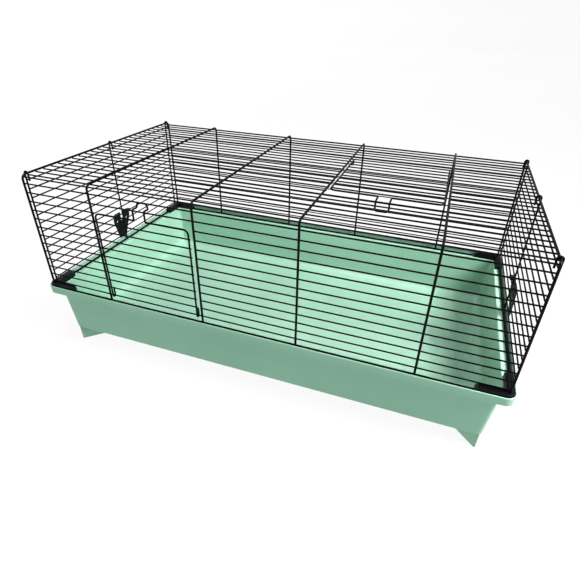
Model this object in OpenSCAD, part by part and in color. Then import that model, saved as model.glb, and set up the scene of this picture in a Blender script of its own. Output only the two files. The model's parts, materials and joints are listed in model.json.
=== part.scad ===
// Rabbit hutch: a deep plastic tub with four corner feet under a lift-off wire top.
// Frame: origin on the floor under the middle of the tub, +X to the right, +Y to the back, +Z up.

/* [Tub] */
// Height of the tub's underside above the floor
foot_h = 39; // [20:1:60]
// Height of the ledge that carries the wire top
ledge_z = 157; // [140:1:200]
// How far the lip stands above the ledge
lip_h = 9.5; // [6:0.5:14]
// How far the skirt hangs below the ledge
skirt_h = 8; // [5:0.5:12]
// Outer face of the lip, outside the wire top's centre lines
lip_out = 12.5; // [12.5:0.5:18]
// Thickness of the lip, the ledge and the skirt
rim_t = 3; // [2:0.5:3]
// Outer face of the wall under the ledge, inside the centre lines
wall_top_in = 6.2; // [6:0.2:10]
// Outer face of the wall at the underside, inside the centre lines
wall_base_in = 14; // [12:0.5:18]
// Thickness of the walls, the floor and the feet
wall_t = 2.5; // [2:0.1:3]
// Outer corner radius of the lip
lip_r = 20; // [17:1:20]
// Corner radius of the wall
wall_r = 10; // [8:1:16]
// Length of a foot where it meets the underside, from the wall's corner inwards
foot_top_l = 84; // [60:1:110]
// Length of a foot at the floor
foot_base_l = 64; // [40:1:80]
// How far a foot's outer edge leans in towards the floor
foot_lean = 2; // [0:0.5:6]

/* [Wire top] */
// Length between the centre lines of the two end bows
cage_l = 960; // [900:10:1040]
// Width between the centre lines of the front and back legs
cage_w = 520; // [500:1:530]
// Height from the base rails to the top of the bows, centre to centre
cage_h = 260; // [258:1:262]
// Diameter of the bows and the base rails
bow_d = 4.2; // [3.6:0.1:4.4]
// Diameter of the door frames and the panel uprights
frame_d = 3.4; // [3:0.1:3.4]
// Diameter of the cross wires
mesh_d = 2.7; // [2.2:0.1:2.7]
// Bend radius at the bows' two upper corners
bow_r = 10; // [8:1:11]
// Spacing of the front, back and panel wires
side_pitch = 19; // [18.9:0.1:19.1]
// Spacing of the top wires
top_pitch = 20.4; // [20.3:0.1:20.5]
// Height of the lowest front and back wire above the rails
first_wire_z = 13.4; // [13.2:0.1:14]
// Length of the hooks' free tails
hook_tail = 15; // [10:1:15]

/* [Doors] */
// Length of the front door from its hinge wire to its top edge
front_door_l = 191; // [190:0.5:192]
// Length of the top door from its hinge wire to its front edge
top_door_l = 204; // [203:0.5:205]
// Width of the front door between its side wires' centre lines
front_door_w = 206; // [200:1:208]
// How far the front door sits left of the middle of its bay
front_door_shift = 3; // [0:0.5:3.5]
// Width of the top door between its side wires' centre lines
top_door_w = 209; // [200:1:212]
// Width of the tongue bent into a door's free edge
tongue_w = 25; // [20:1:30]
// How far the tongue steps in behind the wire that stops it
tongue_step = 14; // [10:1:15]
// Length of the tongue's tip past its step
tongue_tip = 10; // [9:1:10]
// Running clearance between a hinge loop and its wire, on the radius
hinge_play = 0.08; // [0.04:0.01:0.1]

/* [Clips and joiners] */
// Width of a clip at its hinge
clip_top_w = 60; // [48:1:64]
// Width of a clip at its hook
clip_hook_w = 16; // [14:1:24]
// Thickness of a clip
clip_t = 3; // [2.5:0.1:3.5]
// Width of the slot that clears the middle upright
clip_slot_w = 12; // [9:1:14]
// Depth of the slot below the hinge
clip_slot_h = 22; // [14:1:28]
// Size of the window in each of a clip's ears
clip_window = 8; // [5:0.5:9]
// Length of a corner joiner's arms from the corner
joiner_arm = 55; // [40:1:70]
// Radius of a corner joiner's outer corner
joiner_r = 14; // [14:0.5:16]

/* [Hidden] */
$fn = 24;

mint = [0.60, 0.86, 0.73];
coat = [0.05, 0.09, 0.09];
black = [0.04, 0.05, 0.07];

// Gap left at each weld and under the rails, so that touching pieces stay separate solids
weld_gap = 0.05;
rail_gap = 0.1;
slim = 0.01;

rail_z = ledge_z + rail_gap + bow_d / 2;
lip_z = ledge_z + lip_h;
skirt_z = ledge_z - skirt_h;
lip_in = lip_out - rim_t;

// Distances between centre lines where one wire is welded across another
bow_to_mesh = (bow_d + mesh_d) / 2 + weld_gap;
frame_to_mesh = (frame_d + mesh_d) / 2 + weld_gap;

// Places of the six bows along the length
bow_x = [-0.5, -0.3375, -0.1042, 0.1042, 0.3375, 0.5] * cage_l;
front_bay = [bow_x[1], bow_x[2]];
top_bay = [bow_x[3], bow_x[4]];

// Cross wires: how many there are, and which of them a door interrupts
side_n = 13;
top_n = 25;
front_cut = [1, 10];
top_cut = [7, 16];
first_top_y = 15;
wire_over = 1.2;
front_wire_y = -cage_w / 2 + bow_to_mesh;
top_wire_z = rail_z + cage_h - bow_to_mesh;

// Hinge loops close round a cross wire
loop_r = (mesh_d + frame_d) / 2 + hinge_play;
front_hinge_z = rail_z + first_wire_z;
top_hinge_y = -cage_w / 2 + first_top_y + (top_cut[1] + 1) * top_pitch;
front_catch_z = front_hinge_z + (front_cut[1] + 1) * side_pitch;
top_catch_y = top_hinge_y - (top_cut[1] - top_cut[0] + 2) * top_pitch;
tongue_r = 2.5;
tongue_tip_r = 5.5;
tongue_clear = 0.4;
door_corner_r = 10;

// Side panels hang outside the end bows on hooks
panel_x = -cage_l / 2 - (bow_d + frame_d) / 2 - 0.2;
panel_wire_x = panel_x + frame_to_mesh;
hook_r = -cage_l / 2 - panel_x;
rail_end = 4;
upright_y = [-cage_w / 2 + 11.5, 4.5, cage_w / 2 - 11.5];
panel_wire_end = 10;

// Side clips turn on the fourth panel wire
clip_z = rail_z + 4 * side_pitch;
clip_y = upright_y[1];
lug_r = 3.2;
lug_w = 13;
lug_mouth = 1.9;

// Room for a wire inside a moulded channel, on the radius
channel_gap = 0.15;

// ---- Wire ----

function unit(v) = v / norm(v);
function turn(p, i) = acos(unit(p[i] - p[i - 1]) * unit(p[i + 1] - p[i]));
function setback(p, r, i) = (i == 0 || i == len(p) - 1) ? 0 : r[i - 1] * tan(turn(p, i) / 2);

module along(from, to) {
  z = unit(to - from);
  x = unit(cross(abs(z[2]) < 0.9 ? [0, 0, 1] : [1, 0, 0], z));
  y = cross(z, x);
  multmatrix([
    [x[0], y[0], z[0], from[0]],
    [x[1], y[1], z[1], from[1]],
    [x[2], y[2], z[2], from[2]],
    [0, 0, 0, 1]
  ]) children();
}

module rod(from, to, d) {
  along(from, to) cylinder(h = norm(to - from), d = d);
}

module elbow(p, i, r, d) {
  a = unit(p[i] - p[i - 1]);
  b = unit(p[i + 1] - p[i]);
  n = unit(b - a * (a * b));
  c = p[i] - a * r * tan(turn(p, i) / 2) + n * r;
  z = cross(a, n);
  multmatrix([
    [-n[0], a[0], z[0], c[0]],
    [-n[1], a[1], z[1], c[1]],
    [-n[2], a[2], z[2], c[2]],
    [0, 0, 0, 1]
  ]) rotate_extrude(angle = turn(p, i)) translate([r, 0]) circle(d = d);
}

// One wire through the points p, with a bend of radius r[i - 1] at each inner point i
module bent_wire(p, r, d) {
  for (i = [0 : len(p) - 2]) {
    a = unit(p[i + 1] - p[i]);
    from = p[i] + a * setback(p, r, i);
    to = p[i + 1] - a * setback(p, r, i + 1);
    if (norm(to - from) > slim && a * (to - from) > 0) rod(from, to, d);
  }
  for (i = [1 : len(p) - 2]) elbow(p, i, r[i - 1], d);
}

module x_wire(x, y, z, d) {
  rod([x[0], y, z], [x[1], y, z], d);
}

// A run of cross wires broken between the bows of a bay
module broken_x_wire(bay, y, z) {
  x_wire([-cage_l / 2 - wire_over, bay[0] + wire_over], y, z, mesh_d);
  x_wire([bay[1] - wire_over, cage_l / 2 + wire_over], y, z, mesh_d);
}

module full_x_wire(y, z) {
  x_wire([-cage_l / 2 - wire_over, cage_l / 2 + wire_over], y, z, mesh_d);
}

module base_rail(y) {
  color(coat) x_wire([-cage_l / 2 - bow_d / 2, cage_l / 2 + bow_d / 2], y, rail_z, bow_d);
}

module bow(x) {
  foot = rail_z + bow_d / 2 + weld_gap;
  top = rail_z + cage_h;
  side = cage_w / 2;
  color(coat)
    bent_wire([[x, -side, foot], [x, -side, top], [x, side, top], [x, side, foot]], [bow_r, bow_r], bow_d);
}

// The wire welded inside the bows' bend, on the front (-1) or the back (1)
module bend_wire(side) {
  inset = bow_r - (bow_r - bow_to_mesh) * cos(45);
  full_x_wire(side * (cage_w / 2 - inset), rail_z + cage_h - inset);
}

module front_wires() {
  color(coat) {
    for (k = [0 : side_n - 1]) {
      z = front_hinge_z + k * side_pitch;
      if (k >= front_cut[0] && k <= front_cut[1]) broken_x_wire(front_bay, front_wire_y, z);
      else full_x_wire(front_wire_y, z);
    }
    bend_wire(-1);
  }
}

module back_wires() {
  color(coat) {
    for (k = [0 : side_n - 1]) full_x_wire(-front_wire_y, front_hinge_z + k * side_pitch);
    bend_wire(1);
  }
}

module top_wires() {
  color(coat) for (k = [0 : top_n - 1]) {
    y = -cage_w / 2 + first_top_y + k * top_pitch;
    if (k >= top_cut[0] && k <= top_cut[1]) broken_x_wire(top_bay, y, top_wire_z);
    else full_x_wire(y, top_wire_z);
  }
}

// ---- Side panels, drawn on the left ----

module panel_rail() {
  color(coat) rod([panel_x, -cage_w / 2 + rail_end, rail_z], [panel_x, cage_w / 2 - rail_end, rail_z], bow_d);
}

module panel_uprights() {
  foot = rail_z + bow_d / 2 + weld_gap;
  crest = rail_z + cage_h + hook_r;
  inner = -cage_l / 2 + hook_r;
  color(coat) for (y = upright_y)
    bent_wire(
      [[panel_x, y, foot], [panel_x, y, crest], [inner, y, crest], [inner, y, crest - hook_r - hook_tail]],
      [hook_r, hook_r], frame_d);
}

module panel_wires() {
  end = cage_w / 2 - panel_wire_end;
  color(coat) for (k = [1 : side_n]) {
    z = rail_z + k * side_pitch;
    rod([panel_wire_x, -end, z], [panel_wire_x, end, z], mesh_d);
  }
}

module on_right() {
  mirror([1, 0, 0]) children();
}

// ---- Doors: hinge wire along X at the origin, door towards -Y, outside face up ----

module door_frame(w, l, tongue_l) {
  x = w / 2;
  t = tongue_w / 2;
  low = loop_r - tongue_step;
  edge = -l - tongue_l;
  color(coat) bent_wire([
    [-x, -hook_tail, -loop_r],
    [-x, loop_r, -loop_r],
    [-x, loop_r, loop_r],
    [-x, -l, loop_r],
    [-t, -l, loop_r],
    [-t, edge, loop_r],
    [-t, edge, low],
    [-t, edge - tongue_tip, low],
    [t, edge - tongue_tip, low],
    [t, edge, low],
    [t, edge, loop_r],
    [t, -l, loop_r],
    [x, -l, loop_r],
    [x, loop_r, loop_r],
    [x, loop_r, -loop_r],
    [x, -hook_tail, -loop_r]
  ], [
    loop_r, loop_r, door_corner_r, tongue_r, tongue_r, tongue_r, tongue_tip_r,
    tongue_tip_r, tongue_r, tongue_r, tongue_r, door_corner_r, loop_r, loop_r
  ], frame_d);
}

module door_wires(w, pitch, n) {
  color(coat) for (k = [1 : n])
    x_wire([-w / 2 - wire_over, w / 2 + wire_over], -k * pitch, loop_r - frame_to_mesh, mesh_d);
}

module place_front_door() {
  translate([(front_bay[0] + front_bay[1]) / 2 - front_door_shift, front_wire_y, front_hinge_z])
    mirror([0, 1, 1]) children();
}

module place_top_door() {
  translate([(top_bay[0] + top_bay[1]) / 2, top_hinge_y, top_wire_z]) children();
}

module front_door_frame() {
  past = front_catch_z - front_hinge_z - front_door_l + (mesh_d + frame_d) / 2 + tongue_clear;
  place_front_door() door_frame(front_door_w, front_door_l, past);
}

module front_door_wires() {
  place_front_door() door_wires(front_door_w, side_pitch, front_cut[1] - front_cut[0]);
}

module top_door_frame() {
  past = top_hinge_y - top_catch_y - top_door_l + (mesh_d + frame_d) / 2 + tongue_r + tongue_clear;
  place_top_door() door_frame(top_door_w, top_door_l, past);
}

module top_door_wires() {
  place_top_door() door_wires(top_door_w, top_pitch, top_cut[1] - top_cut[0]);
}

// ---- Tub ----

// Slab with rounded corners whose sides stand out from the centre lines by o
module slab(o, r, z, h) {
  translate([0, 0, z]) linear_extrude(h)
    offset(r = r, $fn = 48) square([cage_l + 2 * (o - r), cage_w + 2 * (o - r)], center = true);
}

// Solid that tapers evenly from its base outline to its top outline
module taper(base, top, base_r, top_r, z0, z1) {
  hull() {
    slab(base, base_r, z0, slim);
    slab(top, top_r, z1 - slim, slim);
  }
}

module rim() {
  mid_wall = -wall_top_in - wall_t / 2;
  mid_wall_r = wall_r - wall_t / 2;
  difference() {
    slab(lip_out, lip_r, skirt_z, lip_z - skirt_z);
    slab(lip_in, lip_r - rim_t, ledge_z, lip_h + 1);
    difference() {
      slab(lip_in, lip_r - rim_t, skirt_z - 1, skirt_h - rim_t + 1);
      slab(mid_wall, mid_wall_r, skirt_z - 2, skirt_h);
    }
    slab(mid_wall, mid_wall_r, skirt_z - 2, skirt_h + rim_t);
  }
}

module pan() {
  difference() {
    taper(-wall_base_in, -wall_top_in, wall_r, wall_r, foot_h, ledge_z);
    taper(-wall_base_in - wall_t, -wall_top_in - wall_t, wall_r - wall_t, wall_r - wall_t,
      foot_h + wall_t, ledge_z + 1);
  }
}

// Upright plate under one corner, along the diagonal from the wall's corner inwards
module foot(sx, sy) {
  corner = wall_base_in + wall_r * (1 - cos(45));
  translate([sx * (cage_l / 2 - corner), sy * (cage_w / 2 - corner), 0])
    rotate(atan2(-sy, -sx)) rotate([90, 0, 0]) linear_extrude(wall_t, center = true)
      polygon([
        [foot_lean, 0],
        [foot_base_l, 0],
        [foot_top_l, foot_h + wall_t / 2],
        [wall_t / 2, foot_h + wall_t / 2]
      ]);
}

module tub() {
  color(mint) {
    rim();
    pan();
    for (sx = [-1, 1]) for (sy = [-1, 1]) foot(sx, sy);
  }
}

// ---- Corner joiners, drawn at the front left with the corner leg at the origin ----

module joiner() {
  out = 8;
  inner = 6;
  low = -(bow_d + rail_gap) / 2;
  high = first_wire_z - mesh_d / 2 - 0.35;
  groove = bow_d / 2 + channel_gap;
  hook_x = panel_x + cage_l / 2;
  upright_in = upright_y[0] + cage_w / 2;
  color(black) difference() {
    translate([0, 0, low]) linear_extrude(high - low) {
      translate([joiner_r - out, -out]) square([joiner_arm - joiner_r + out, out + inner]);
      translate([-out, joiner_r - out]) square([out + inner, joiner_arm - joiner_r + out]);
      intersection() {
        translate([-out, -out]) square(joiner_r);
        translate([joiner_r - out, joiner_r - out]) circle(r = joiner_r, $fn = 48);
      }
    }
    translate([-groove, -groove, low - 1]) cube([joiner_arm + out, 2 * groove, groove - low + 1]);
    translate([hook_x - groove, rail_end - channel_gap, low - 1])
      cube([2 * groove, joiner_arm + out, groove - low + 1]);
    cylinder(r = groove, h = high + 1);
    translate([hook_x, upright_in, 0]) cylinder(r = frame_d / 2 + channel_gap, h = high + 1);
    translate([joiner_arm, -out - 1, high / 2]) rotate([0, -35, 0]) cube([out, 2 * out + inner, high * 2]);
    translate([-out - 1, joiner_arm, high / 2]) rotate([35, 0, 0]) cube([2 * out + inner, out, high * 2]);
  }
}

module at_corner(sx, sy) {
  mirror([sx > 0 ? 1 : 0, 0, 0]) mirror([0, sy > 0 ? 1 : 0, 0])
    translate([-cage_l / 2, -cage_w / 2, rail_z]) children();
}

// ---- Side clip, drawn on the left: x is the distance outside the end bow, z the height over the rail ----

module clip() {
  near = -cage_l / 2 - panel_x + frame_d / 2 + 0.6;
  far = lip_out + 0.6;
  head = 3;
  under = skirt_z - rail_z - 0.8;
  hinge_u = -cage_l / 2 - panel_wire_x;
  hinge_v = clip_z - rail_z;
  over = lip_z - rail_z + 2;
  side = [
    [near, hinge_v + head],
    [near, hinge_v - head],
    [far, over],
    [far, under],
    [far - 4, under],
    [far - 4, under - clip_t],
    [far + clip_t, under - clip_t],
    [far + clip_t, over],
    [near + clip_t, hinge_v + head]
  ];
  wide = clip_top_w / 2;
  shoulder = hinge_v - clip_slot_h + 4;
  face = [
    [-clip_hook_w / 2, under - clip_t - 1],
    [clip_hook_w / 2, under - clip_t - 1],
    [clip_hook_w / 2, under + 4],
    [wide, shoulder],
    [wide, hinge_v - head],
    [wide - 6, hinge_v + head + 1],
    [6 - wide, hinge_v + head + 1],
    [-wide, hinge_v - head],
    [-wide, shoulder],
    [-clip_hook_w / 2, under + 4]
  ];
  color(black) translate([-cage_l / 2, clip_y, rail_z]) mirror([1, 0, 0]) {
    difference() {
      union() {
        intersection() {
          rotate([90, 0, 0]) linear_extrude(clip_top_w + 2, center = true) polygon(side);
          rotate([90, 0, 90]) linear_extrude(far + 2 * clip_t) polygon(face);
        }
        for (s = [-1, 1]) translate([0, s * (wide - 2 - lug_w / 2), hinge_v]) {
          translate([hinge_u, 0, 0]) rotate([90, 0, 0]) cylinder(r = lug_r, h = lug_w, center = true);
          translate([hinge_u, -lug_w / 2, -lug_r + 0.4]) cube([near - hinge_u + 1, lug_w, 2 * lug_r - 0.8]);
        }
      }
      translate([near - 1, -clip_slot_w / 2, hinge_v - clip_slot_h])
        cube([2 * far, clip_slot_w, 2 * clip_slot_h]);
      for (s = [-1, 1]) translate([near - 1, s * (wide - clip_window - 4), shoulder - 2])
        rotate([0, 90, 0]) cylinder(d = clip_window, h = far);
      translate([hinge_u, 0, hinge_v]) rotate([90, 0, 0])
        cylinder(r = mesh_d / 2 + hinge_play, h = clip_top_w + 2, center = true);
      translate([hinge_u - 2 * lug_r, -clip_top_w, hinge_v - lug_mouth / 2])
        cube([2 * lug_r, 2 * clip_top_w, lug_mouth]);
    }
  }
}

tub();
base_rail(-cage_w / 2);  // front_rail
base_rail(cage_w / 2);  // back_rail
bow(bow_x[0]);  // left_end_bow
bow(bow_x[1]);  // front_door_left_bow
bow(bow_x[2]);  // front_door_right_bow
bow(bow_x[3]);  // top_door_left_bow
bow(bow_x[4]);  // top_door_right_bow
bow(bow_x[5]);  // right_end_bow
front_wires();
top_wires();
back_wires();
panel_rail();  // left_panel_rail
panel_uprights();  // left_panel_uprights
panel_wires();  // left_panel_wires
on_right() panel_rail();  // right_panel_rail
on_right() panel_uprights();  // right_panel_uprights
on_right() panel_wires();  // right_panel_wires
at_corner(-1, -1) joiner();  // front_left_joiner
at_corner(1, -1) joiner();  // front_right_joiner
at_corner(-1, 1) joiner();  // back_left_joiner
at_corner(1, 1) joiner();  // back_right_joiner
front_door_frame();
front_door_wires();
top_door_frame();
top_door_wires();
clip();  // left_clip
on_right() clip();  // right_clip
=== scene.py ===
import json
import math
import random

import bmesh
import bpy
import numpy as np
from mathutils import Matrix, Vector


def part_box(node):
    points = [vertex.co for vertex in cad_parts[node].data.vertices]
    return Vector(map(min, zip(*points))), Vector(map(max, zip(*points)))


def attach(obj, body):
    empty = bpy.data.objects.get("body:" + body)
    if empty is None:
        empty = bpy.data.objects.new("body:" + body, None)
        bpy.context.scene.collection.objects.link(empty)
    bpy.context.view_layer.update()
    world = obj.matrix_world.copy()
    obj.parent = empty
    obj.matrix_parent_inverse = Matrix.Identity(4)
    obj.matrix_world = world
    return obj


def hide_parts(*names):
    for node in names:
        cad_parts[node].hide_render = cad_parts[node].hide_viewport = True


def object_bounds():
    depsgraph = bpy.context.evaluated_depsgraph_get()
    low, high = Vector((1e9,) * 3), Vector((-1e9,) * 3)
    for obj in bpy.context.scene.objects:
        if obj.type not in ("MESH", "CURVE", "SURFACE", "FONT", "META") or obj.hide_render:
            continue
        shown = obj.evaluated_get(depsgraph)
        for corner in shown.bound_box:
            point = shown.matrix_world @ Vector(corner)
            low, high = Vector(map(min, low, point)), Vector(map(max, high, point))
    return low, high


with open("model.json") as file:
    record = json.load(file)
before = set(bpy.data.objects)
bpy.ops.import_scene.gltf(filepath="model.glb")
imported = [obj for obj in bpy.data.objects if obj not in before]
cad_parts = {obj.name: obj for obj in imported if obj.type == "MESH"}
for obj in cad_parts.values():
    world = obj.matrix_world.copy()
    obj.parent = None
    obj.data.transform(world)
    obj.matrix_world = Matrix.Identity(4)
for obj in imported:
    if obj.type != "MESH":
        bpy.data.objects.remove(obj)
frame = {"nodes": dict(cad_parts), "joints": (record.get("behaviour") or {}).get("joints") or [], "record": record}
cad_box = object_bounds()

MM = 0.001

# ---- Light levels ----

# Below 1, the display gamma deepens thin dark wires that the pixels average with the background
VIEW_GAMMA = 0.8
SKY, SKY_COLOUR = 0.10, (0.96, 0.98, 1.0, 1)
# The stage glows: this much at the floor, and this much high up on its wall
FLOOR_GLOW, WALL_GLOW = 0.93, 0.45
GLOW_FROM, GLOW_TO = 1.0, 8.0
KEY_FROM, KEY, KEY_ANGLE = (0.77, -0.24, 0.58), 5.5, 16
SOFTBOX_AT, SOFTBOX = (1.5, -0.22, 1.4), 74
TOP_BOX_AT, TOP_BOX = (-0.1, -0.22, 2.0), 32
BOX_SIZE = 0.8
LAMP_COLOUR = (1.0, 0.82, 0.88)

# ---- Camera: the photo's viewpoint ----

SENSOR_W, FOCAL = 36, 27.41
SHIFT_X, SHIFT_Y = 0.0012, -0.0136
CAMERA_AT = (0.3014, -0.8859, 0.7097)
CAMERA_FORWARD = (-0.2776, 0.8029, -0.5275)
CAMERA_RIGHT = (0.9411, 0.3376, 0.0187)

# ---- Colours, linear ----

MINT_DEEP, MINT_LIGHT = (0.248, 0.470, 0.350, 1), (0.277, 0.502, 0.379, 1)
# A darker mint laid on in speckles towards the tub's bottom, and a lighter mint for scuffs
MINT_DARK_LOW, MINT_SCUFF = (0.25, 0.40, 0.29, 1), (0.40, 0.62, 0.50, 1)
COAT_DEEP, COAT_LIGHT = (0.0006, 0.0012, 0.0012, 1), (0.0016, 0.0030, 0.0028, 1)
COAT_CHIP = (0.05, 0.055, 0.05, 1)
BLACK_DEEP, BLACK_LIGHT = (0.0025, 0.003, 0.005, 1), (0.005, 0.006, 0.010, 1)
FLOOR_GREY, FLOOR_WHITE = (0.06, 0.06, 0.06, 1), (1, 1, 1, 1)

# ---- Sizes that the CAD model's boxes don't say, in metres ----

BOW_D, FRAME_D, MESH_D = 4.2 * MM, 3.4 * MM, 2.7 * MM
BOW_BEND = 10 * MM
HOOK_TAIL = 15 * MM
LOOP_R = (MESH_D + FRAME_D) / 2 + 0.08 * MM
DOOR_CORNER = 10 * MM
FRONT_DOOR_L, TOP_DOOR_L = 191 * MM, 204 * MM
TONGUE_W, TONGUE_STEP, TONGUE_TIP, TONGUE_BEND = 25 * MM, 14 * MM, 10 * MM, 2.5 * MM
WALL_T, RIM_T = 2.5 * MM, 3 * MM
WALL_TOP_IN, WALL_BASE_IN = 6.2 * MM, 14 * MM
LIP_R, WALL_R, LEAST_R = 20 * MM, 10 * MM, 3 * MM
RAIL_GAP, SKIRT_H = 0.1 * MM, 8 * MM
FOOT_H = 39 * MM
FOOT_TOP_L, FOOT_BASE_L, FOOT_LEAN = 84 * MM, 64 * MM, 2 * MM

# ---- Finish that the CAD model leaves out, in metres ----

# How far a wire bows between its welds
RAIL_WAVE, DOOR_WAVE, WAVE = 0.15 * MM, 0.2 * MM, 0.35 * MM
WAVE_SPAN = 0.05
# Shape of a wire's cut end and of a weld bead, as parts of the wire's radius or diameter
END_CUT, END_WIDTH = 0.25, 0.78
BEAD_LONG, BEAD_WIDE, BEAD_THICK, BEAD_RISE = 1.35, 1.2, 0.8, 0.45
# The round between the tub's walls and its floor inside
FLOOR_FILLET = 22 * MM
JOINER_EDGE, CLIP_EDGE = 0.9 * MM, 0.6 * MM
FOOT_EDGE = 0.6 * MM

# ---- Places, from the CAD model's boxes ----


def middle(node):
    low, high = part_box(node)
    return (low + high) / 2


CAGE_X = middle("right_end_bow").x
CAGE_Y = middle("back_rail").y
RAIL_Z = middle("front_rail").z
TUB_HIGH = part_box("tub")[1]
LEDGE_Z = RAIL_Z - BOW_D / 2 - RAIL_GAP
LIP_Z = TUB_HIGH.z
LIP_OUT = TUB_HIGH.x - CAGE_X
SKIRT_Z = LEDGE_Z - SKIRT_H
BOWS = [
    "left_end_bow",
    "front_door_left_bow",
    "front_door_right_bow",
    "top_door_left_bow",
    "top_door_right_bow",
    "right_end_bow",
]
BOW_XS = [middle(b).x for b in BOWS]
JOINTS = {j["name"]: j for j in frame["joints"]}
BODIES = frame["record"]["behaviour"]["bodies"]
BODY_OF = {node: body for body, nodes in BODIES.items() for node in nodes}
X, Y, Z = Vector((1, 0, 0)), Vector((0, 1, 0)), Vector((0, 0, 1))


# ---- Materials ----


class Nodes:
    """A small helper that adds shader nodes and links them by name."""

    def __init__(self, name):
        self.material = bpy.data.materials.new(name)
        self.material.use_nodes = True
        self.tree = self.material.node_tree
        self.shader = self.tree.nodes["Principled BSDF"]

    def add(self, kind, inputs=None, **settings):
        node = self.tree.nodes.new(kind)
        for key, value in settings.items():
            setattr(node, key, value)
        for key, value in (inputs or {}).items():
            self.put(node, key, value)
        return node

    def put(self, node, key, value):
        if isinstance(value, bpy.types.NodeSocket):
            self.tree.links.new(value, node.inputs[key])
        else:
            node.inputs[key].default_value = value

    def place(self):
        return self.add("ShaderNodeTexCoord").outputs["Object"]

    def noise(self, scale, detail, rough, vector):
        node = self.add(
            "ShaderNodeTexNoise",
            {"Vector": vector, "Scale": scale, "Detail": detail, "Roughness": rough},
        )
        return node.outputs["Fac"]

    def ramp(self, fac, low, high, out_low=0.0, out_high=1.0):
        node = self.add(
            "ShaderNodeMapRange",
            {"Value": fac, "From Min": low, "From Max": high, "To Min": out_low, "To Max": out_high},
        )
        return node.outputs["Result"]

    def mix(self, fac, a, b):
        node = self.add("ShaderNodeMix", data_type="RGBA")
        for socket, value in zip((0, 6, 7), (fac, a, b)):
            self.put(node, socket, value)
        return node.outputs[2]

    def math(self, operation, a, b):
        return self.add("ShaderNodeMath", {0: a, 1: b}, operation=operation).outputs[0]

    def bump(self, height, strength, distance, normal=None):
        node = self.add("ShaderNodeBump", {"Height": height, "Strength": strength, "Distance": distance})
        if normal is not None:
            self.put(node, "Normal", normal)
        return node.outputs["Normal"]

    def set(self, **sockets):
        for key, value in sockets.items():
            self.put(self.shader, key.replace("_", " "), value)
        return self.material


def tub_material():
    """Satin mint polypropylene, a little translucent, with a fine moulded grain and light scuffs."""
    m = Nodes("mint_plastic")
    place = m.place()
    clouds = m.noise(3.0, 2, 0.5, place)
    base = m.mix(m.ramp(clouds, 0.35, 0.65), MINT_DEEP, MINT_LIGHT)
    height = m.add("ShaderNodeSeparateXYZ", {0: place}).outputs[2]
    # Speckled darker mint towards the bottom: strongest at the feet's soles, fading out 5 cm up, over the feet and
    # the underside
    low_down = m.ramp(height, 0.05, 0.0)
    speckled = m.ramp(m.noise(40, 4, 0.6, place), 0.4, 0.7, 0.1, 0.5)
    base = m.mix(m.math("MULTIPLY", low_down, speckled), base, MINT_DARK_LOW)
    stretched = m.add("ShaderNodeMapping", {"Vector": place, "Scale": (14, 260, 90)}).outputs[0]
    scuffs = m.ramp(m.noise(1.0, 2, 0.6, stretched), 0.66, 0.74)
    patchy = m.ramp(m.noise(9, 3, 0.5, place), 0.5, 0.62)
    scuffs = m.math("MULTIPLY", scuffs, patchy)
    base = m.mix(m.math("MULTIPLY", scuffs, 0.25), base, MINT_SCUFF)
    satin = m.ramp(m.noise(18, 3, 0.5, place), 0.3, 0.7, 0.30, 0.40)
    rough = m.math("ADD", satin, m.math("MULTIPLY", scuffs, 0.2))
    grain = m.bump(m.noise(1500, 2, 0.5, place), 0.10, 0.0002)
    warp = m.bump(m.noise(7, 1, 0.4, place), 0.25, 0.004, grain)
    return m.set(
        Base_Color=base,
        Roughness=rough,
        Normal=warp,
        IOR=1.42,
        Subsurface_Weight=0.15,
        Subsurface_Radius=(0.8, 1.0, 0.9),
        Subsurface_Scale=0.003,
    )


def wire_material():
    """Dark green-black powder coat with a soft gloss, orange peel and small chips."""
    m = Nodes("coated_wire")
    place = m.place()
    shade = m.ramp(m.noise(25, 3, 0.5, place), 0.3, 0.7)
    base = m.mix(shade, COAT_DEEP, COAT_LIGHT)
    chips = m.ramp(m.noise(420, 4, 0.7, place), 0.76, 0.80)
    base = m.mix(m.math("MULTIPLY", chips, 0.5), base, COAT_CHIP)
    rough = m.ramp(m.noise(120, 3, 0.6, place), 0.3, 0.7, 0.30, 0.46)
    peel = m.bump(m.noise(900, 2, 0.5, place), 0.25, 0.0002)
    return m.set(Base_Color=base, Roughness=rough, Normal=peel, IOR=1.25)


def black_plastic():
    """Moulded black plastic with a cool sheen and a fine spark-eroded grain."""
    m = Nodes("black_plastic")
    place = m.place()
    base = m.mix(m.ramp(m.noise(60, 3, 0.5, place), 0.3, 0.7), BLACK_DEEP, BLACK_LIGHT)
    rough = m.ramp(m.noise(200, 3, 0.6, place), 0.3, 0.7, 0.28, 0.44)
    grain = m.bump(m.noise(2200, 2, 0.5, place), 0.35, 0.0002)
    return m.set(Base_Color=base, Roughness=rough, Normal=grain, IOR=1.4)


MINT, COAT, BLACK = tub_material(), wire_material(), black_plastic()


# ---- Mesh helpers ----


def add_object(name, data):
    obj = bpy.data.objects.new(name, data)
    bpy.context.scene.collection.objects.link(obj)
    return obj


def bridge(bm, rings):
    """Joins each ring of corners to the next with a band of four-sided faces."""
    count = len(rings[0])
    for one, two in zip(rings, rings[1:]):
        for k in range(count):
            n = (k + 1) % count
            bm.faces.new((one[k], one[n], two[n], two[k]))


def piece(name, bm, material, body, nodes, smooth_angle=40):
    """Makes an object of bm that rides on a body and stands for the given CAD nodes."""
    bmesh.ops.recalc_face_normals(bm, faces=bm.faces[:])
    mesh = bpy.data.meshes.new(name)
    bm.to_mesh(mesh)
    bm.free()
    mesh.polygons.foreach_set("use_smooth", [True] * len(mesh.polygons))
    mesh.set_sharp_from_angle(angle=math.radians(smooth_angle))
    mesh.materials.append(material)
    obj = add_object(name, mesh)
    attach(obj, body)
    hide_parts(*nodes)


def coated_wire(node, bm):
    """The wire piece that stands for one CAD node and rides on its body."""
    piece(node + "_coated", bm, COAT, BODY_OF[node], [node])


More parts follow.
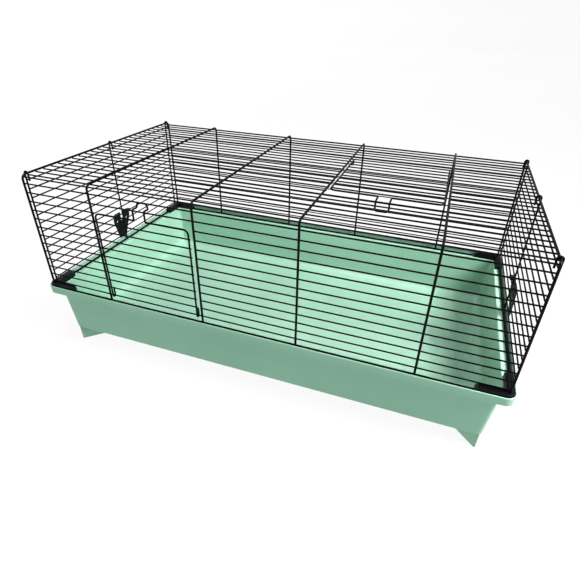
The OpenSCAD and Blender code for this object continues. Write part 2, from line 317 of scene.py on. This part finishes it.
def rounded_path(points, radii, step_deg):
    """The line through points, with an arc of its own radius at each inner point."""
    path = [points[0]]
    for before, at, after, radius in zip(points, points[1:], points[2:], radii):
        a, b = (at - before).normalized(), (after - at).normalized()
        angle = a.angle(b)
        normal = (b - a * a.dot(b)).normalized()
        centre = at - a * radius * math.tan(angle / 2) + normal * radius
        steps = max(2, math.ceil(math.degrees(angle) / step_deg))
        for i in range(steps + 1):
            t = angle * i / steps
            path.append(centre - normal * radius * math.cos(t) + a * radius * math.sin(t))
    path.append(points[-1])
    return [p for i, p in enumerate(path) if i == 0 or (p - path[i - 1]).length > 1e-6]


def tube(bm, path, radius, sides=12):
    """A round wire along path with slightly rounded cut ends."""
    first = (path[1] - path[0]).normalized()
    last = (path[-1] - path[-2]).normalized()
    cut = radius * END_CUT
    path = [path[0], path[0] + first * cut] + path[1:-1] + [path[-1] - last * cut, path[-1]]
    widths = [radius * END_WIDTH] + [radius] * (len(path) - 2) + [radius * END_WIDTH]
    tangent = first
    side = Z if abs(first.z) < 0.9 else X
    side = (side - tangent * side.dot(tangent)).normalized()
    rings = []
    for i, (p, width) in enumerate(zip(path, widths)):
        ahead = (path[min(i + 1, len(path) - 1)] - path[max(i - 1, 0)]).normalized()
        side = (tangent.rotation_difference(ahead) @ side).normalized()
        tangent = ahead
        other = tangent.cross(side)
        ring = []
        for k in range(sides):
            t = 2 * math.pi * k / sides
            ring.append(bm.verts.new(p + (side * math.cos(t) + other * math.sin(t)) * width))
        rings.append(ring)
    bridge(bm, rings)
    bm.faces.new(rings[0][::-1])
    bm.faces.new(rings[-1])


def weld(bm, at, along, across, radius):
    """The flattened bead where one wire is welded across another."""
    up = along.cross(across)
    made = bmesh.ops.create_icosphere(bm, subdivisions=1, radius=1.0)["verts"]
    turn = Matrix((along, across, up)).transposed()
    for v in made:
        x, y, z = v.co
        shaped = (x * radius * BEAD_LONG, y * radius * BEAD_WIDE, z * radius * BEAD_THICK)
        v.co = at + turn @ Vector(shaped)


def islands(node):
    """The distinct corner points of each separate solid in a CAD node, in a fixed order."""
    mesh = frame["nodes"][node].data
    keys, index, ids = {}, [], []
    for v in mesh.vertices:
        key = tuple(round(c * 1e6) for c in v.co)
        ids.append(keys.setdefault(key, len(keys)))
        if ids[-1] == len(index):
            index.append(v.co.copy())
    parent = list(range(len(index)))

    def root(i):
        while parent[i] != i:
            parent[i] = parent[parent[i]]
            i = parent[i]
        return i

    for e in mesh.edges:
        parent[root(ids[e.vertices[0]])] = root(ids[e.vertices[1]])
    groups = {}
    for i, p in enumerate(index):
        groups.setdefault(root(i), []).append(p)
    solids = [np.array(g) for g in groups.values()]
    return sorted(solids, key=lambda s: tuple(np.round(s.mean(0), 4)[[2, 1, 0]]))


def straight_axes(node):
    """Start and end of every straight wire in a CAD node."""
    axes = []
    for points in islands(node):
        low, high = points.min(0), points.max(0)
        k = int(np.argmax(high - low))
        start, end = Vector(points.mean(0)), Vector(points.mean(0))
        start[k], end[k] = low[k], high[k]
        axes.append((start, end))
    return axes


def is_pin(start, end):
    """Whether a straight wire is the pin that a door or a clip turns on."""
    along = (end - start).normalized()
    for joint in JOINTS.values():
        if joint["type"] == "hinge":
            gap = Vector(joint["pos_m"]) - start
            parallel = abs(along.dot(Vector(joint["axis"]))) > 0.9
            if parallel and (gap - along * gap.dot(along)).length < 1 * MM:
                return True
    return False


def uneven(start, end, rng, most):
    """A straight wire's centre line with the slight bow that each span has between its welds."""
    steps = max(1, round((end - start).length / WAVE_SPAN))
    across = [Y, Z] if abs((end - start).x) > 0.01 else [X, Z]
    waves = [(rng.uniform(-most, most), rng.uniform(1.5, 3.5), rng.uniform(0, 6.28)) for _ in across]
    path = []
    for i in range(steps + 1):
        t = i / steps
        fade = math.sin(math.pi * t)
        p = start.lerp(end, t)
        for direction, (size, turns, phase) in zip(across, waves):
            p += direction * size * fade * math.sin(turns * math.pi * t + phase)
        path.append(p)
    return path


# ---- Wire top ----

rng = random.Random(7)


def straight_wires(node, diameter, crossings, toward, wave=WAVE):
    """Rebuilds a node of straight wires, with a weld bead at each crossing that a wire reaches."""
    bm = bmesh.new()
    for start, end in straight_axes(node):
        along = (end - start).normalized()
        pin = is_pin(start, end)
        path = [start, end] if pin else uneven(start, end, rng, wave)
        tube(bm, path, diameter / 2)
        k = 0 if abs(along.x) > 0.9 else 1
        for c in crossings:
            if start[k] - 1 * MM < c < end[k] + 1 * MM:
                at = start.lerp(end, min(1, max(0, (c - start[k]) / (end[k] - start[k]))))
                bead = at + toward * diameter * BEAD_RISE
                weld(bm, bead, along, along.cross(toward), MESH_D / 2)
    coated_wire(node, bm)


def make_rails():
    for node in ("front_rail", "back_rail"):
        straight_wires(node, BOW_D, BOW_XS, Z, RAIL_WAVE)
    for node in ("left_panel_rail", "right_panel_rail"):
        straight_wires(node, BOW_D, [middle("left_clip").y], Z, RAIL_WAVE)


def make_bows():
    for node in BOWS:
        low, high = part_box(node)
        x, r = (low.x + high.x) / 2, BOW_D / 2
        points = [
            Vector((x, low.y + r, low.z)),
            Vector((x, low.y + r, high.z - r)),
            Vector((x, high.y - r, high.z - r)),
            Vector((x, high.y - r, low.z)),
        ]
        path = rounded_path(points, [BOW_BEND, BOW_BEND], 9)
        bm = bmesh.new()
        tube(bm, path, r, 14)
        coated_wire(node, bm)


def make_uprights(node):
    bm = bmesh.new()
    r = FRAME_D / 2
    for points in islands(node):
        low, high = Vector(points.min(0)), Vector(points.max(0))
        outer, inner = (low.x + r, high.x - r) if low.x < 0 else (high.x - r, low.x + r)
        hook = abs(outer - inner) / 2
        y, crest = (low.y + high.y) / 2, high.z - r
        corners = [
            Vector((outer, y, low.z)),
            Vector((outer, y, crest)),
            Vector((inner, y, crest)),
            Vector((inner, y, crest - hook - HOOK_TAIL)),
        ]
        tube(bm, rounded_path(corners, [hook, hook], 12), r)
    coated_wire(node, bm)


# ---- Doors ----


def door_points(width, length, past):
    """Centre line of a door's frame: hinge wire along X at the origin, door towards -Y, outside up."""
    x, t, low = width / 2, TONGUE_W / 2, LOOP_R - TONGUE_STEP
    tip, edge, r = t - 3 * MM, -length - past, TONGUE_BEND
    left = [
        ((-x, -HOOK_TAIL, -LOOP_R), None),
        ((-x, LOOP_R, -LOOP_R), LOOP_R),
        ((-x, LOOP_R, LOOP_R), LOOP_R),
        ((-x, -length, LOOP_R), DOOR_CORNER),
        ((-t, -length, LOOP_R), r),
        ((-t, edge, LOOP_R), r),
        ((-t, edge, low), r),
        ((-tip, edge - TONGUE_TIP, low), r * 1.6),
    ]
    right = [((-p[0], p[1], p[2]), radius) for p, radius in left[::-1]]
    both = left + right
    return [Vector(p) for p, _ in both], [radius for _, radius in both[1:-1]]


def make_door(name, joint, length, place, extent):
    frame_node, wires_node = name + "_frame", name + "_wires"
    low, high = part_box(frame_node)
    width = high.x - low.x - FRAME_D
    past = extent - length - TONGUE_TIP - FRAME_D / 2
    points, radii = door_points(width, length, past)
    at = Vector(JOINTS[joint]["pos_m"])
    at.x = (low.x + high.x) / 2
    path = [at + place @ p for p in rounded_path(points, radii, 12)]
    bm = bmesh.new()
    tube(bm, path, FRAME_D / 2, 14)
    coated_wire(frame_node, bm)
    sides = [low.x + FRAME_D / 2, high.x - FRAME_D / 2]
    straight_wires(wires_node, MESH_D, sides, place @ Z, DOOR_WAVE)


def make_doors():
    flip = Matrix(((1, 0, 0), (0, 0, -1), (0, -1, 0)))
    hinge_z = Vector(JOINTS["front_door_hinge"]["pos_m"]).z
    hinge_y = Vector(JOINTS["top_door_hinge"]["pos_m"]).y
    front_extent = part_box("front_door_frame")[1].z - hinge_z
    top_extent = hinge_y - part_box("top_door_frame")[0].y
    make_door("front_door", "front_door_hinge", FRONT_DOOR_L, flip, front_extent)
    make_door("top_door", "top_door_hinge", TOP_DOOR_L, Matrix.Identity(3), top_extent)


# ---- Tub ----

CORNER_STEPS, SIDE_STEPS = 10, 16
# How far in from the wall the section ends, and the rings that carry the floor on from there
FLOOR_EDGE_IN = 60 * MM
FLOOR_RINGS_IN = (0.235, 0.18, 0.12)


def outline(offset, radius, z):
    """Points of a rounded rectangle whose sides stand outside the wire top's centre lines by offset."""
    hx, hy = CAGE_X + offset - radius, CAGE_Y + offset - radius
    points = []
    corners = [(hx, -hy, -90), (hx, hy, 0), (-hx, hy, 90), (-hx, -hy, 180)]
    for i, (cx, cy, start) in enumerate(corners):
        for k in range(CORNER_STEPS + 1):
            t = math.radians(start + 90 * k / CORNER_STEPS)
            points.append(Vector((cx + radius * math.cos(t), cy + radius * math.sin(t), z)))
        nx, ny, nstart = corners[(i + 1) % 4]
        t = math.radians(nstart)
        begin, finish = points[-1], Vector((nx + radius * math.cos(t), ny + radius * math.sin(t), z))
        points += [begin.lerp(finish, k / SIDE_STEPS) for k in range(1, SIDE_STEPS)]
    return points


def fillet(corner, before, after, radius, steps=5):
    """Points of an arc that rounds corner, each point as (offset, z)."""
    at, a, b = Vector(corner), Vector(before), Vector(after)
    to_a, to_b = (a - at).normalized(), (b - at).normalized()
    half = to_a.angle(to_b) / 2
    reach = radius / math.tan(half)
    centre = at + (to_a + to_b).normalized() * (radius / math.sin(half))
    start, end = at + to_a * reach - centre, at + to_b * reach - centre
    total = start.angle(end)
    arc = []
    for k in range(steps + 1):
        t = k / steps
        blend = (start * math.sin((1 - t) * total) + end * math.sin(t * total)) / math.sin(total)
        arc.append(centre + blend)
    return arc


def tub_section():
    """The tub's wall from the floor's edge inside, over the lip, to the underside's edge.

    Each corner is ((offset, z), radius of its round); each point of the result is (offset, z).
    """
    lip_in = LIP_OUT - RIM_T
    key = [
        ((-FLOOR_EDGE_IN, FOOT_H + WALL_T), 0),
        ((-WALL_BASE_IN - WALL_T, FOOT_H + WALL_T), FLOOR_FILLET),
        ((-WALL_TOP_IN - WALL_T, LEDGE_Z), 2.2 * MM),
        ((lip_in, LEDGE_Z), 1.6 * MM),
        ((lip_in + 0.2 * MM, LIP_Z), 1.3 * MM),
        ((LIP_OUT, LIP_Z), 1.4 * MM),
        ((LIP_OUT - 0.4 * MM, SKIRT_Z), 1.1 * MM),
        ((lip_in - 0.2 * MM, SKIRT_Z), 1.1 * MM),
        ((lip_in, LEDGE_Z - RIM_T), 1.2 * MM),
        ((-WALL_TOP_IN - 0.15 * MM, LEDGE_Z - RIM_T), 1.2 * MM),
        ((-WALL_BASE_IN, FOOT_H), 3 * MM),
        ((-FLOOR_EDGE_IN, FOOT_H), 0),
    ]
    section = [Vector(key[0][0])]
    for (before, _), (at, radius), (after, _) in zip(key, key[1:], key[2:]):
        section += fillet(at, before, after, radius)
    section.append(Vector(key[-1][0]))
    return section


def corner_radius(offset, z):
    """Corner radius of the tub's outline at a point of its section."""
    taper = (WALL_BASE_IN - WALL_TOP_IN) * (LEDGE_Z - z) / (LEDGE_Z - FOOT_H)
    wall = WALL_R + min(0, offset + WALL_TOP_IN + taper)
    lip = LIP_R + offset - LIP_OUT
    t = min(1, max(0, (offset + WALL_TOP_IN) / (LIP_OUT - RIM_T + WALL_TOP_IN)))
    return max(LEAST_R, wall + (lip - wall) * t)


def make_tub():
    bm = bmesh.new()
    rings = [(s.x, s.y, corner_radius(s.x, s.y)) for s in tub_section()]
    inner = [(-o, rings[0][1], LEAST_R) for o in FLOOR_RINGS_IN]
    under = [(-o, rings[-1][1], LEAST_R) for o in FLOOR_RINGS_IN[::-1]]
    loops = []
    for offset, z, radius in inner + rings + under:
        loops.append([bm.verts.new(p) for p in outline(offset, radius, z)])
    bridge(bm, loops)
    bm.faces.new(loops[0])
    bm.faces.new(loops[-1][::-1])
    for side_x in (-1, 1):
        for side_y in (-1, 1):
            add_foot(bm, side_x, side_y)
    piece("tub_moulding", bm, MINT, "tub", ["tub"], 50)


def add_foot(bm, side_x, side_y):
    """One upright plate along the diagonal of a corner, with softened edges."""
    corner = WALL_BASE_IN + WALL_R * (1 - math.cos(math.pi / 4))
    at = Vector((side_x * (CAGE_X - corner), side_y * (CAGE_Y - corner), 0))
    inward = Vector((-side_x, -side_y, 0)).normalized()
    across = Vector((-inward.y, inward.x, 0))
    top = FOOT_H + WALL_T / 2
    plate = [
        Vector((WALL_T / 2, top, 0)),
        Vector((FOOT_LEAN, 0, 0)),
        Vector((FOOT_BASE_L, 0, 0)),
        Vector((FOOT_TOP_L, top, 0)),
    ]
    centre = Vector((FOOT_BASE_L / 2, top / 2, 0))
    seam = (plate[0] + plate[3]) / 2
    closed = [seam] + plate + [seam]
    rounded = rounded_path(closed, [0.5 * MM, 2 * MM, 3 * MM, 0.5 * MM], 18)[:-1]
    rings = []
    for side, inset in ((-0.5, FOOT_EDGE), (-0.26, 0), (0.26, 0), (0.5, FOOT_EDGE)):
        ring = []
        for p in rounded:
            q = p - (p - centre).normalized() * inset
            spot = at + inward * q.x + across * side * WALL_T + Vector((0, 0, q.y))
            ring.append(bm.verts.new(spot))
        rings.append(ring)
    bridge(bm, rings)
    bm.faces.new(rings[0][::-1])
    bm.faces.new(rings[-1])


# ---- Joiners and clips keep their CAD shape, with softened edges ----


def soften(node, width):
    obj = frame["nodes"][node]
    obj.data.materials.clear()
    obj.data.materials.append(BLACK)
    bevel = obj.modifiers.new("edges", "BEVEL")
    bevel.width = width
    bevel.segments = 2
    bevel.limit_method = "ANGLE"
    bevel.angle_limit = math.radians(35)
    bevel.harden_normals = True


# ---- Stage, lights and camera ----

# The stage's section as (radius, height) in metres, and the corners of each of its rings
BOWL = ((0.5, 0), (2, 0), (6, 0), (8, 0.15), (10, 0.7), (12, 2.4), (13, 5), (13.3, 8), (13.3, 11))
BOWL_SIDES = 64


def make_stage():
    """A round pale floor whose far edge curves up, so that no horizon shows."""
    bm = bmesh.new()
    rings = []
    ground = cad_box[0].z - 0.2 * MM
    for radius, rise in BOWL:
        ring = []
        for k in range(BOWL_SIDES):
            t = 2 * math.pi * k / BOWL_SIDES
            ring.append(bm.verts.new((radius * math.cos(t), radius * math.sin(t), ground + rise)))
        rings.append(ring)
    bm.faces.new(rings[0])
    bridge(bm, rings)
    mesh = bpy.data.meshes.new("floor")
    bm.to_mesh(mesh)
    bm.free()
    mesh.materials.append(floor_material())
    add_object("floor", mesh)


def floor_material():
    """A pale matt surface whose glow lights the object from all round, and less from high up."""
    m = Nodes("pale_floor")
    height = m.add("ShaderNodeSeparateXYZ", {0: m.place()}).outputs[2]
    glow = m.ramp(height, GLOW_FROM, GLOW_TO, FLOOR_GLOW, WALL_GLOW)
    return m.set(
        Base_Color=FLOOR_GREY,
        Roughness=0.95,
        Emission_Color=FLOOR_WHITE,
        Emission_Strength=glow,
        Specular_IOR_Level=0.1,
    )


def add_light(name, kind, toward, at, energy):
    """A lamp at a place that shines along the line from toward to the origin."""
    lamp = bpy.data.lights.new(name, kind)
    lamp.energy = energy
    lamp.color = LAMP_COLOUR
    obj = add_object(name, lamp)
    obj.location = at
    obj.rotation_mode = "QUATERNION"
    obj.rotation_quaternion = Vector(toward).to_track_quat("Z", "Y")
    return lamp


def make_lights():
    world = bpy.data.worlds.new("studio")
    bpy.context.scene.world = world
    world.use_nodes = True
    background = world.node_tree.nodes["Background"]
    background.inputs["Color"].default_value = SKY_COLOUR
    background.inputs["Strength"].default_value = SKY
    key = add_light("key", "SUN", KEY_FROM, (0, 0, 2), KEY)
    key.angle = math.radians(KEY_ANGLE)
    for name, at, energy in (("softbox", SOFTBOX_AT, SOFTBOX), ("top_box", TOP_BOX_AT, TOP_BOX)):
        box = add_light(name, "AREA", at, at, energy)
        box.shape = "DISK"
        box.size = BOX_SIZE


def make_camera():
    """Places the camera and turns it to its forward and right axes, made square to each other."""
    lens = bpy.data.cameras.new("camera")
    lens.sensor_width = SENSOR_W
    lens.lens = FOCAL
    lens.shift_x, lens.shift_y = SHIFT_X, SHIFT_Y
    camera = add_object("camera", lens)
    forward = Vector(CAMERA_FORWARD).normalized()
    right = Vector(CAMERA_RIGHT)
    right = (right - forward * right.dot(forward)).normalized()
    up = right.cross(forward)
    turn = Matrix((right, up, -forward)).transposed()
    camera.matrix_world = Matrix.Translation(CAMERA_AT) @ turn.to_4x4()
    bpy.context.scene.camera = camera


# ---- Build ----

make_camera()
make_lights()
make_stage()
make_tub()
make_rails()
make_bows()
TOP_TOWARD = {"front_wires": -Y, "top_wires": Z, "back_wires": Y}
for node, toward in TOP_TOWARD.items():
    straight_wires(node, MESH_D, BOW_XS, toward)
for side, toward in (("left", -X), ("right", X)):
    uprights = [float(p.mean(0)[1]) for p in islands(side + "_panel_uprights")]
    straight_wires(side + "_panel_wires", MESH_D, uprights, toward)
    make_uprights(side + "_panel_uprights")
make_doors()
for node in ("front_left_joiner", "front_right_joiner", "back_left_joiner", "back_right_joiner"):
    soften(node, JOINER_EDGE)
for node in ("left_clip", "right_clip"):
    soften(node, CLIP_EDGE)

bpy.context.scene.view_settings.view_transform = "Standard"
bpy.context.scene.view_settings.gamma = VIEW_GAMMA
